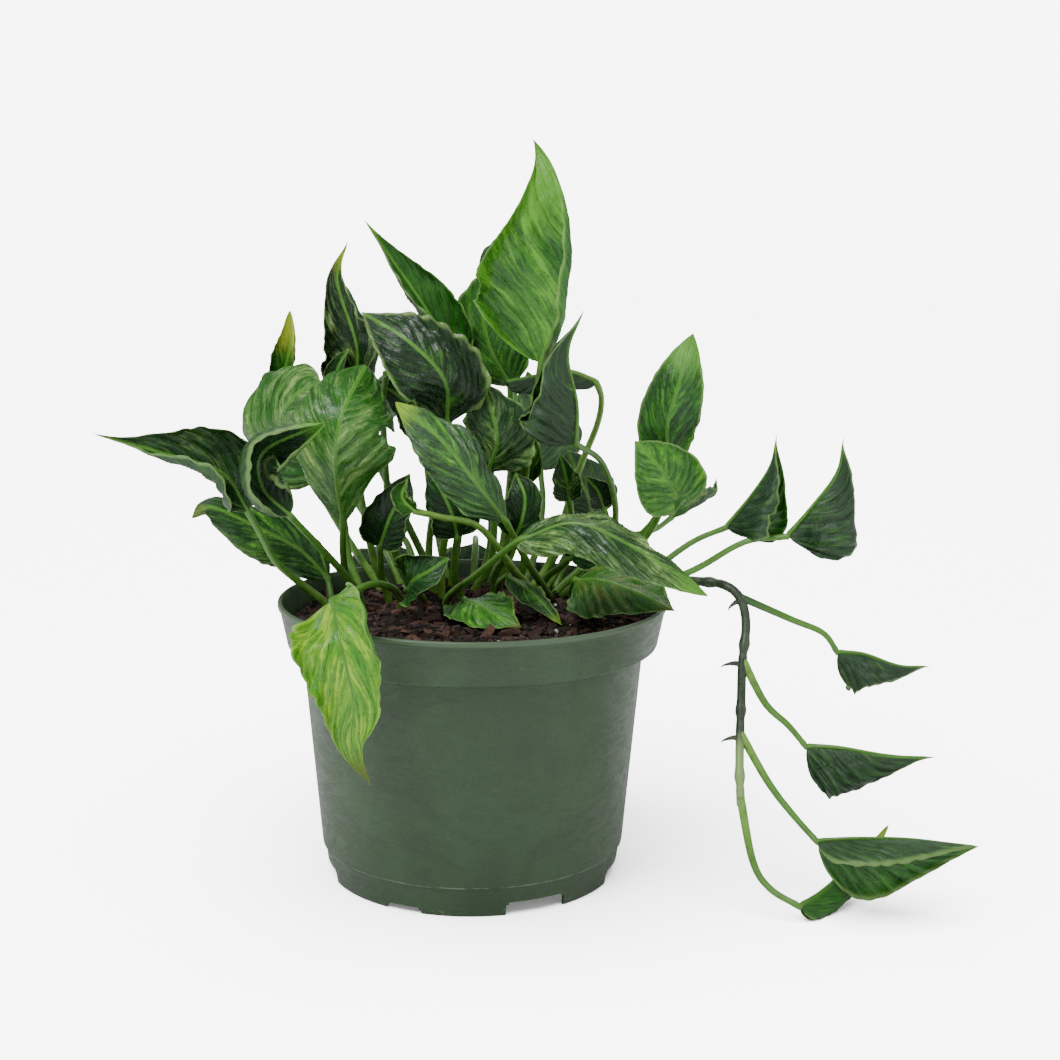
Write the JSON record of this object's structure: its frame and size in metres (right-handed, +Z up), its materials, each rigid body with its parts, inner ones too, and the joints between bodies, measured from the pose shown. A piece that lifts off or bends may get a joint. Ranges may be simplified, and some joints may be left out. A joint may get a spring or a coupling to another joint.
{
  "type": "potted pothos plant",
  "caption": "Trailing pothos houseplant with curled, marbled leaves in a plain round nursery pot.",
  "frame": {"origin": "on the surface that the pot stands on, under the middle of the whole plant's bounding box", "axes": "+Z up; +X towards the side where the stem trails over the rim; -Y towards the front, where one leaf hangs over the rim"},
  "size_m": [0.3561, 0.2367, 0.3092],
  "materials": {
    "pot_plastic": "dull dark green moulded plastic, scuffed, with a soft sheen",
    "peat_soil": "rough dark peat with bark chips",
    "stem": "smooth waxy dark grey-green plant stem",
    "leaf_back_centre": "waxy leaf, marbled dark and light green above, duller grey-green below",
    "leaf_back_drop": "waxy leaf, marbled dark and light green above, duller grey-green below",
    "leaf_back_left": "waxy leaf, marbled dark and light green above, duller grey-green below",
    "leaf_back_low_left": "waxy leaf, marbled dark and light green above, duller grey-green below",
    "leaf_back_low_right": "waxy leaf, marbled dark and light green above, duller grey-green below",
    "leaf_back_mid": "waxy leaf, marbled dark and light green above, duller grey-green below",
    "leaf_back_right": "waxy leaf, marbled dark and light green above, duller grey-green below",
    "leaf_back_tall": "waxy leaf, marbled dark and light green above, duller grey-green below",
    "leaf_back_upright": "waxy leaf, marbled dark and light green above, duller grey-green below",
    "leaf_behind_centre": "waxy leaf, marbled dark and light green above, duller grey-green below",
    "leaf_centre_dark": "waxy leaf, marbled dark and light green above, duller grey-green below",
    "leaf_centre_hang": "waxy leaf, marbled dark and light green above, duller grey-green below",
    "leaf_centre_shade": "waxy leaf, marbled dark and light green above, duller grey-green below",
    "leaf_centre_up": "waxy leaf, marbled dark and light green above, duller grey-green below",
    "leaf_cupped_dark": "waxy leaf, marbled dark and light green above, duller grey-green below",
    "leaf_far_left": "waxy leaf, marbled dark and light green above, duller grey-green below",
    "leaf_front_long": "waxy leaf, marbled dark and light green above, duller grey-green below",
    "leaf_front_narrow": "waxy leaf, marbled dark and light green above, duller grey-green below",
    "leaf_front_olive": "waxy leaf, marbled dark and light green above, duller grey-green below",
    "leaf_front_striped": "waxy leaf, marbled dark and light green above, duller grey-green below",
    "leaf_hooked": "waxy leaf, marbled dark and light green above, duller grey-green below",
    "leaf_inner_left": "waxy leaf, marbled dark and light green above, duller grey-green below",
    "leaf_inner_low": "waxy leaf, marbled dark and light green above, duller grey-green below",
    "leaf_inner_middle": "waxy leaf, marbled dark and light green above, duller grey-green below",
    "leaf_inner_right": "waxy leaf, marbled dark and light green above, duller grey-green below",
    "leaf_inner_shade": "waxy leaf, marbled dark and light green above, duller grey-green below",
    "leaf_left_curled": "waxy leaf, marbled dark and light green above, duller grey-green below",
    "leaf_left_face": "waxy leaf, marbled dark and light green above, duller grey-green below",
    "leaf_left_low": "waxy leaf, marbled dark and light green above, duller grey-green below",
    "leaf_left_round": "waxy leaf, marbled dark and light green above, duller grey-green below",
    "leaf_narrow_dark": "waxy leaf, marbled dark and light green above, duller grey-green below",
    "leaf_over_rim": "waxy leaf, marbled dark and light green above, duller grey-green below",
    "leaf_right_arrow": "waxy leaf, marbled dark and light green above, duller grey-green below",
    "leaf_right_hood": "waxy leaf, marbled dark and light green above, duller grey-green below",
    "leaf_right_outer": "waxy leaf, marbled dark and light green above, duller grey-green below",
    "leaf_right_upright": "waxy leaf, marbled dark and light green above, duller grey-green below",
    "leaf_rolled": "waxy leaf, marbled dark and light green above, duller grey-green below",
    "leaf_small_centre": "waxy leaf, marbled dark and light green above, duller grey-green below",
    "leaf_small_curl": "waxy leaf, marbled dark and light green above, duller grey-green below",
    "leaf_small_left": "waxy leaf, marbled dark and light green above, duller grey-green below",
    "leaf_small_point": "waxy leaf, marbled dark and light green above, duller grey-green below",
    "leaf_small_right": "waxy leaf, marbled dark and light green above, duller grey-green below",
    "leaf_tall_folded": "waxy leaf, marbled dark and light green above, duller grey-green below",
    "leaf_tall_top": "waxy leaf, marbled dark and light green above, duller grey-green below",
    "leaf_top_second": "waxy leaf, marbled dark and light green above, duller grey-green below",
    "leaf_yellow_tip": "waxy leaf, marbled dark and light green above, duller grey-green below",
    "vine_leaf_1": "waxy leaf, marbled dark and light green above, duller grey-green below",
    "vine_leaf_2": "waxy leaf, marbled dark and light green above, duller grey-green below",
    "vine_leaf_3": "waxy leaf, marbled dark and light green above, duller grey-green below",
    "vine_leaf_4": "waxy leaf, marbled dark and light green above, duller grey-green below"
  },
  "bodies": {
    "root": {"pot": "pot_plastic", "soil": "peat_soil", "trailing_stem": "stem", "leaf_back_centre": "leaf_back_centre", "leaf_back_drop": "leaf_back_drop", "leaf_back_left": "leaf_back_left", "leaf_back_low_left": "leaf_back_low_left", "leaf_back_low_right": "leaf_back_low_right", "leaf_back_mid": "leaf_back_mid", "leaf_back_right": "leaf_back_right", "leaf_back_tall": "leaf_back_tall", "leaf_back_upright": "leaf_back_upright", "leaf_behind_centre": "leaf_behind_centre", "leaf_centre_dark": "leaf_centre_dark", "leaf_centre_hang": "leaf_centre_hang", "leaf_centre_shade": "leaf_centre_shade", "leaf_centre_up": "leaf_centre_up", "leaf_cupped_dark": "leaf_cupped_dark", "leaf_far_left": "leaf_far_left", "leaf_front_long": "leaf_front_long", "leaf_front_narrow": "leaf_front_narrow", "leaf_front_olive": "leaf_front_olive", "leaf_front_striped": "leaf_front_striped", "leaf_hooked": "leaf_hooked", "leaf_inner_left": "leaf_inner_left", "leaf_inner_low": "leaf_inner_low", "leaf_inner_middle": "leaf_inner_middle", "leaf_inner_right": "leaf_inner_right", "leaf_inner_shade": "leaf_inner_shade", "leaf_left_curled": "leaf_left_curled", "leaf_left_face": "leaf_left_face", "leaf_left_low": "leaf_left_low", "leaf_left_round": "leaf_left_round", "leaf_narrow_dark": "leaf_narrow_dark", "leaf_over_rim": "leaf_over_rim", "leaf_right_arrow": "leaf_right_arrow", "leaf_right_hood": "leaf_right_hood", "leaf_right_outer": "leaf_right_outer", "leaf_right_upright": "leaf_right_upright", "leaf_rolled": "leaf_rolled", "leaf_small_centre": "leaf_small_centre", "leaf_small_curl": "leaf_small_curl", "leaf_small_left": "leaf_small_left", "leaf_small_point": "leaf_small_point", "leaf_small_right": "leaf_small_right", "leaf_tall_folded": "leaf_tall_folded", "leaf_tall_top": "leaf_tall_top", "leaf_top_second": "leaf_top_second", "leaf_yellow_tip": "leaf_yellow_tip", "vine_leaf_1": "vine_leaf_1", "vine_leaf_2": "vine_leaf_2", "vine_leaf_3": "vine_leaf_3", "vine_leaf_4": "vine_leaf_4"}
  },
  "joints": []
}
